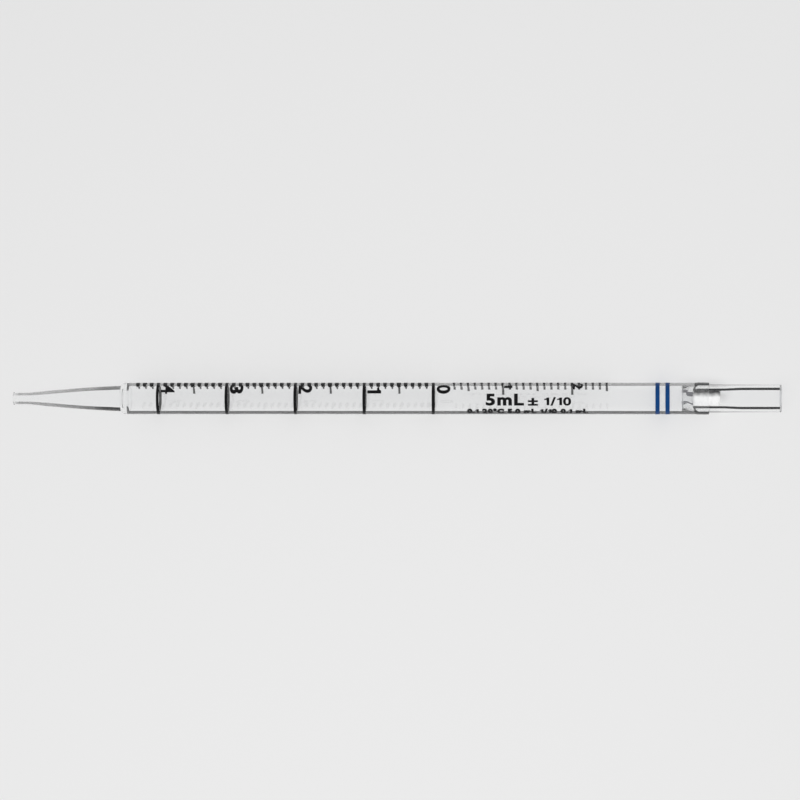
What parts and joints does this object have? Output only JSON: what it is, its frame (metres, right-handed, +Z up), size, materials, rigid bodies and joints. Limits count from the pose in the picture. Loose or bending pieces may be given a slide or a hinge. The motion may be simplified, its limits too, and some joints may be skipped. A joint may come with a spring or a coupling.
{
  "type": "serological pipette",
  "caption": "Clear plastic serological pipette: a tube with a tapered tip, ring marks and a volume scale, blue bands, and a narrower mouthpiece holding a white fibre plug.",
  "frame": {"origin": "centre of the mouth end's face, on the pipette's axis", "axes": "+X along the pipette and out of its mouth, so the tip is towards -X; +Z up, with the printed scale's numerals on the side that faces up"},
  "size_m": [0.233, 0.0098, 0.0096],
  "materials": {
    "clear_plastic": "polished",
    "plug_fibre": "matte",
    "black_ink": "satin",
    "blue_ink": "satin"
  },
  "bodies": {
    "root": {"tip": "clear_plastic", "barrel": "clear_plastic", "mouthpiece": "clear_plastic", "filter_plug": "plug_fibre"}
  },
  "joints": []
}
